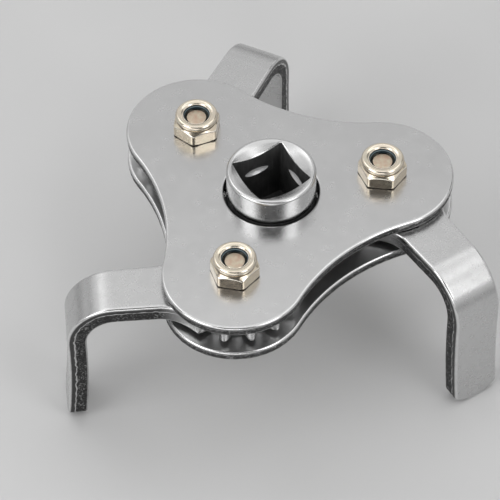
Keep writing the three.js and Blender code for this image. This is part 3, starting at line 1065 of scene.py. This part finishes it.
# Sections of the turned parts: rows of radius, height, wear and perhaps dark, which is painted shade.
# The dark marks at the nut's foot and in the crease under its collar are painted shade.
NUT_FOOT = [(3.35, 0, 0), (4.4, 0, 0, 1), (4.7, 0.02, 0, 1)]
NUT_CREASE = [(4.62, 3.475, 0.1), (4.56, 3.52, 0, 0.85), (4.51, 3.58, 0, 0.85), (4.5, 3.69, 0)]
NUT_COLLAR = arc((4.08, -0.74), 0.73, -40, 90, 16, 0.35)
NUT_COLLAR += [(3.75, -0.05, 0.3), (3.45, -0.15, 0.2), (3.2, -0.27, 0.4)]
NUT_COLLAR += arc((3.1, -0.42), 0.12, 60, 180, 4, 0.7)
NUT_POCKET = [(3.0, 4.68, 0), (3.2, 4.66, 0), (3.95, 4.66, 0), (3.97, 4.5, 0)]
NUT_POCKET += [(3.97, 3.4, 0), (3.5, 3.36, 0)]
BOLT_FACE = [(0.7, 0, 0), (2.08, 0, 0), (2.2, -0.05, 0.6)]
BOLT_CHAMFER = [(2.3, -0.13, 0.8), (2.75, -0.62, 0.2)]
SHANK_FOOT = [(BOLT_RADIUS, 0.3, 0), (BOLT_RADIUS + 0.08, 0.06, 0), (3.4, 0, 0), (4.55, 0, 0)]
HEAD_FACE = [(HEAD_CHAMFER, 0.02, 0.5), (4.45, 0, 0.2), (3.0, 0, 0), (0.9, 0, 0)]
INSERT_FOOT = [(3.01, 0.02, 0), (3.83, 0.02, 0), (3.93, 0.15, 0)]
INSERT_CREST = [(3.93, -0.2, 0), (3.73, -0.02, 0), (3.1, -0.02, 0)]
# The last arc's mark of 1.0 is a painted highlight along the nylon's crest.
INSERT_CREST += arc((2.96, -0.22), 0.2, 80, 130, 3) + arc((2.96, -0.22), 0.2, 145, 175, 2, 1.0)
INSERT_CREST.append((2.77, -0.34, 0))
INSERT_SEAT = [(2.78, 0.12, 0), (3.01, 0.04, 0)]

# Edges of the hexagons: rows of how far out from the side, how far up, wear and perhaps dark, which is painted
# shade.
NUT_LOWER_EDGE = ((-0.06, 0, 0, 1), (0, 0.08, 0.3, 0.3), (0, 0.3, 0))
NUT_UPPER_EDGE = ((0, -0.25, 0), (0, -0.07, 0.7), (-0.02, -0.02, 1), (-0.06, 0.03, 1))
HEAD_UPPER_EDGE = ((-0.25, 0, 0.3), (-0.05, -0.05, 0.8), (0, -0.25, 0.2))
HEAD_LOWER_EDGE = ((0, 0.25, 0), (0, 0.06, 0.9), (-0.08, -0.02, 0.9))


def hex_edge(rows, level, slope=0.0, centre=0.0):
    """An edge's levels where a cone cuts the hexagon's sides. The cone passes the level at its centre."""
    return [(hexagon(out), hexagon(level + up, slope, centre), *marks) for out, up, *marks in rows]


def thread(start, stop, radius, depth):
    """Levels of a single-start thread between two heights. It fades in and out at both ends."""
    count = round(abs(stop - start) / THREAD_PITCH * THREAD_RINGS)
    levels = []
    for k in range(count + 1):
        height = start + (stop - start) * k / count
        fade = min(1.0, min(k, count - k) / (THREAD_FADE * THREAD_RINGS))

        def cut(angle, height=height, fade=fade):
            phase = (height / THREAD_PITCH - angle / (2 * math.pi)) % 1
            return radius + depth * fade * min(1.0, THREAD_SLANT * abs(2 * phase - 1))

        levels.append((cut, height, THREAD_WEAR))
    return levels


def nut_section(top):
    """A lock nut from its bore out along its foot, up its sides, over its collar and down its thread."""
    levels = NUT_FOOT + hex_edge(NUT_LOWER_EDGE, FOOT_RISE, FOOT_SLOPE, ACROSS_FLATS / 2)
    levels += hex_edge(NUT_UPPER_EDGE, CONE_TOP, -CONE_SLOPE, CONE_RADIUS)
    for share in CONE_ROWS:
        height = hexagon(CONE_TOP, -CONE_SLOPE * share, CONE_RADIUS)
        levels.append((hexagon(CONE_RADIUS, share, CONE_RADIUS), height, CONE_WEAR))
    levels += NUT_CREASE + risen(NUT_COLLAR, top) + NUT_POCKET
    return levels + thread(*NUT_THREAD, THREAD_RADIUS + NUT_SLACK - THREAD_DEPTH, THREAD_DEPTH)


def bolt_section(end, head_top, head_bottom):
    """A bolt's thread, shank and head, from its end chamfer to the middle of its head."""
    levels = risen(BOLT_CHAMFER, end)
    levels += thread(end - THREAD_START, plate_top - THREAD_STOP, THREAD_RADIUS, -THREAD_DEPTH)
    levels += [(BOLT_RADIUS, plate_top - SHANK_START, 0), *risen(SHANK_FOOT, head_top)]
    levels += hex_edge(HEAD_UPPER_EDGE, head_top)
    levels += hex_edge(HEAD_LOWER_EDGE, head_bottom, HEAD_SLOPE, HEAD_CHAMFER)
    return levels + risen(HEAD_FACE, head_bottom)


def washer_section(node, pivot):
    """A flat washer with its edges broken, from the CAD washer's own size."""
    low = lowest(node)
    high = highest(node)
    outer = high.x - pivot.x
    inner = BOLT_HOLE_RADIUS + WASHER_CLEARANCE
    soft = (high.z - low.z) / 4
    levels = [(inner + soft, low.z, 0.2), (outer - soft, low.z, 0.2)]
    levels += arc((outer - soft, low.z + soft), soft, -90, 0, WASHER_STEPS, 1.0)[1:]
    levels += arc((outer - soft, high.z - soft), soft, 0, 90, WASHER_STEPS, 1.0)
    levels += [(inner + soft, high.z, 0.2), (inner, high.z - soft, 0.5), (inner, low.z + soft, 0.5)]
    return levels


def insert_section(node, bolt_top):
    """The nylon ring: it grips the bolt's last threads and stands in above its end."""
    crest = risen(INSERT_CREST, highest(node).z)
    return risen(INSERT_FOOT, lowest(node).z) + crest + risen(INSERT_SEAT, bolt_top)


def turned_ring(section, sides):
    """A body turned from a closed section."""
    body = Body()
    rings = revolved(body, section, even_angles(sides))
    body.skin([*rings, rings[0]])
    return body


def build_ring(node, kind, pivot, section, material, slot_name):
    body = turned_ring(section, RING_SIDES)
    body.stand_in(node, kind, [material], slot_name, centre=pivot)


def build_nut(number, pivot):
    node = f"lock_nut_{number}"
    base = lowest(node).z
    body = turned_ring(nut_section(highest(node).z - base), NUT_SIDES)
    seat = pivot + Vector((0, 0, base))
    body.stand_in(node, "locking", [zinc], "yellow_zinc", centre=seat, turn=corner_angle(node, pivot))


def build_bolt(number, pivot):
    node = f"pivot_bolt_{number}"
    end = highest(node).z
    head_bottom = lowest(node).z
    levels = bolt_section(end, lowest("bottom_plate").z, head_bottom)
    body = Body()
    runs = [(risen(BOLT_FACE, end), CUT), (levels, PLATED)]
    face, last = turn_runs(body, runs, even_angles(NUT_SIDES))
    body.close(face, end, CUT)
    body.close(last, head_bottom, PLATED)
    turn = corner_angle(node, pivot)
    body.stand_in(node, "threaded", [zinc, bolt_end], "yellow_zinc", centre=pivot, turn=turn)


def build_fittings(number, pivot):
    """The nylon ring, the shim and the washer on one bolt."""
    node = f"nylon_insert_{number}"
    section = insert_section(node, highest(f"pivot_bolt_{number}").z)
    build_ring(node, "ring", pivot, section, blue_nylon, "blue_nylon")
    for node in (f"upper_shim_{number}", f"lower_washer_{number}"):
        build_ring(node, "disc", pivot, washer_section(node, pivot), washer_steel, "plain_steel")


# ======== Studio: lengths are metres and directions are degrees ========

FLOOR_SIZE = 3.0
FLOOR_DARK = 0.56
FLOOR_LIGHT = 0.60
FLOOR_ROUGHNESS = 0.55
BACKDROP_LIGHT = 0.6
ROOM_LIGHT = (  # heights on the unit sphere round the object, and the light from there
    (0.0, 0.42), (0.1, 0.42), (0.22, 0.7), (0.33, 0.7), (0.52, 0.08),
)
SOFTBOXES = (  # azimuth, elevation, distance, width, height, radiance
    ("overhead", 199, 80, 1.0, 1.3, 0.9, 0.98),
    ("back", 199, 44, 1.1, 1.3, 0.8, 0.64),
    ("left", 259, 46, 1.0, 0.7, 0.62, 0.8),
    ("right", 113, 47, 1.0, 0.76, 0.7, 0.68),
    ("front_left", 320, 42, 1.0, 0.5, 0.7, 2.7),
    ("front_right", 70, 44, 1.0, 0.36, 0.7, 2.6),
    ("front_low", 0, 24, 1.0, 1.0, 0.35, 1.6),
)
CAMERA_AZIMUTH = 18.98
CAMERA_ELEVATION = 48.89
CAMERA_ROLL = -0.68
CAMERA_DISTANCE = 0.64536
CAMERA_LENS = 212.04
SENSOR_WIDTH = 36
AIM_FROM_AXIS = Vector((1.07, -18.21)) * MM


def direction(azimuth, elevation):
    """Unit vector towards a place round the object, from degrees. Azimuth 0 is the front, 90 the right."""
    up = math.radians(elevation)
    return Vector((*polar(math.cos(up), math.radians(azimuth - 90)), math.sin(up)))


def build_camera():
    camera = bpy.data.objects.new("camera", bpy.data.cameras.new("camera"))
    bpy.context.scene.collection.objects.link(camera)
    camera.data.lens = CAMERA_LENS
    camera.data.sensor_width = SENSOR_WIDTH
    back = direction(CAMERA_AZIMUTH, CAMERA_ELEVATION)
    aim = Vector((*AIM_FROM_AXIS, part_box("top_plate")[1].z))
    upright = (-back).to_track_quat("-Z", "Y").to_matrix().to_4x4()
    roll = Matrix.Rotation(math.radians(CAMERA_ROLL), 4, "Z")
    camera.matrix_world = Matrix.Translation(aim + back * CAMERA_DISTANCE) @ upright @ roll
    bpy.context.scene.camera = camera


def build_floor(level):
    body = Body()
    half = FLOOR_SIZE / 2 / MM
    corners = [(-half, -half, 0), (half, -half, 0), (half, half, 0), (-half, half, 0)]
    body.bm.faces.new(body.ring(corners))
    graph = Graph("studio_floor")
    colour = graph.blend(graph.remap(graph.noise(size=60)), grey(FLOOR_DARK), grey(FLOOR_LIGHT))
    graph.set(Base_Color=colour, Roughness=FLOOR_ROUGHNESS)
    floor = body.finish("studio_floor", [graph.block], (0, 0, level / MM))
    floor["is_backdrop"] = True


def build_softbox(name, azimuth, elevation, distance, width, height, radiance):
    """A soft light that faces the object."""
    light = bpy.data.lights.new(name, "AREA")
    light.shape = "RECTANGLE"
    light.size = width
    light.size_y = height
    light.energy = radiance * math.pi * width * height
    lamp = bpy.data.objects.new(name, light)
    bpy.context.scene.collection.objects.link(lamp)
    towards = direction(azimuth, elevation)
    facing = towards.to_track_quat("Z", "Y").to_matrix().to_4x4()
    lamp.matrix_world = Matrix.Translation(towards * distance) @ facing


def build_world():
    """A room with light walls and a dim ceiling, and a pale backdrop where the camera sees it."""
    graph = Graph("studio", "worlds", "Background", "Generated")
    height = graph.node("ShaderNodeSeparateXYZ", {"Vector": graph.place}).outputs["Z"]
    room = graph.node("ShaderNodeValToRGB", {"Fac": height})
    stops = room.color_ramp.elements
    for _ in ROOM_LIGHT[2:]:
        stops.new(1.0)
    for stop, (height, light) in zip(stops, ROOM_LIGHT):
        stop.position = height
        stop.color = grey(light)
    seen = graph.node("ShaderNodeMix", {"A": room.outputs["Color"], "B": BACKDROP_LIGHT})
    graph.feed(seen.inputs["Factor"], graph.node("ShaderNodeLightPath").outputs["Is Camera Ray"])
    graph.set(Strength=seen.outputs["Result"], Color=grey(1.0))
    bpy.context.scene.world = graph.block
    bpy.context.scene.view_settings.view_transform = "Standard"


# ======== Assembly ========

build_plate("top_plate", TOP_HOLE_RADIUS, plate_nickel)
build_plate("bottom_plate", BOTTOM_HOLE_RADIUS, lower_nickel_painted_light)
build_drive_gear()
for number, pivot in enumerate(pivots, 1):
    build_jaw(number, pivot)
    build_nut(number, pivot)
    build_bolt(number, pivot)
    build_fittings(number, pivot)
build_floor(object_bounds()[0].z)
build_world()
for row in SOFTBOXES:
    build_softbox(*row)
build_camera()
